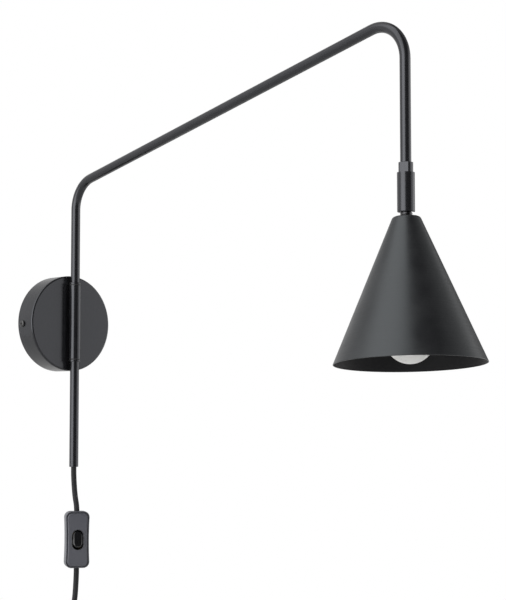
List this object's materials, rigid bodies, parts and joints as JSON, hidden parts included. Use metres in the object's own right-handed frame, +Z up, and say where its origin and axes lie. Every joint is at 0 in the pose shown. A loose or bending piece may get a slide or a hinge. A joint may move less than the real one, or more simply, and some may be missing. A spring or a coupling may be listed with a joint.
{
  "type": "swing arm wall sconce",
  "caption": "Black swing arm wall sconce: round canopy, bent tubular arm turning in a sleeve, cone shade on a ball swivel, and a corded rocker switch with a plug.",
  "frame": {"origin": "middle of the canopy's wall face, on the back of the wall bracket", "axes": "+X to the right along the wall, +Y into the wall, +Z up; the arm stands out along -Y at rest"},
  "size_m": [0.1373, 0.6064, 0.7996],
  "materials": {
    "black_powder_coat": "satin fine-grained black powder coat",
    "shade_coat": "satin black powder coat over a spun cone",
    "zinc_steel": "bright zinc plate",
    "black_screw": "black oxide steel",
    "nylon": "self-lubricating black nylon",
    "cord_sheath": "smooth black cable sheath",
    "switch_plastic": "fine-textured dark grey moulding",
    "rocker_plastic": "polished black moulding",
    "brass_contact": "plain stamped brass",
    "holder_plastic": "black heat-resistant moulding",
    "bulb_opal": "frosted opal white",
    "bulb_white": "white moulded housing",
    "nickel": "nickel plate",
    "plug_plastic": "black moulded plug"
  },
  "bodies": {
    "canopy": {"canopy_cover": "black_powder_coat", "wall_bracket": "zinc_steel", "canopy_side_screws": "black_screw", "pivot_sleeve": "black_powder_coat", "sleeve_weld": "black_powder_coat", "upper_bush": "nylon", "lower_bush": "nylon", "upper_thrust_washer": "nylon", "lower_thrust_washer": "nylon"},
    "arm": {"arm_tube": "black_powder_coat", "upper_stop_ring": "black_powder_coat", "lower_stop_ring": "black_powder_coat", "cord_exit_bush": "nylon", "inner_cable": "cord_sheath", "swivel_collar": "black_powder_coat", "swivel_retaining_nut": "zinc_steel", "cord_upper": "cord_sheath", "switch_front_shell": "switch_plastic", "switch_back_shell": "switch_plastic", "switch_screws": "black_screw", "switch_terminals": "brass_contact", "switch_contact_strips": "brass_contact", "cord_lower": "cord_sheath", "cord_hank": "cord_sheath", "hank_tie": "cord_sheath", "cord_tail": "cord_sheath", "plug_body": "plug_plastic", "plug_pins": "nickel", "plug_pin_sleeves": "plug_plastic"},
    "swivel": {"swivel_barrel": "black_powder_coat", "barrel_top_ring": "zinc_steel", "spring_plate": "zinc_steel", "disc_springs": "zinc_steel", "ball_seat": "nylon"},
    "head": {"ball_stem": "black_powder_coat", "shade": "shade_coat", "shade_lock_washer": "zinc_steel", "shade_lock_nut": "zinc_steel", "lampholder_cap": "holder_plastic", "lampholder_body": "holder_plastic", "lampholder_screw_shell": "brass_contact", "lampholder_contact": "brass_contact", "head_cable": "cord_sheath", "lamp_wires": "cord_sheath", "bulb_globe": "bulb_opal", "bulb_housing": "bulb_white", "bulb_screw_cap": "nickel", "bulb_tip_contact": "brass_contact"},
    "rocker": {"switch_rocker": "rocker_plastic"}
  },
  "joints": [
    {"name": "arm_swing", "type": "hinge", "parent": "canopy", "child": "arm", "pos_m": [0, -0.03335, 0], "axis": [0, 0, 1], "range_deg": [-84, 84]},
    {"name": "head_spin", "type": "hinge", "parent": "arm", "child": "swivel", "pos_m": [0, -0.52835, 0.1], "axis": [0, 0, 1], "range_deg": [-175, 175]},
    {"name": "head_tilt", "type": "hinge", "parent": "swivel", "child": "head", "pos_m": [0, -0.52835, 0.08565], "axis": [0, -1, 0], "range_deg": [-3, 88]},
    {"name": "switch_rock", "type": "hinge", "parent": "arm", "child": "rocker", "pos_m": [0.0008, -0.03988, -0.2395], "axis": [0.8829, -0.4695, 0], "range_deg": [0, 24]}
  ]
}
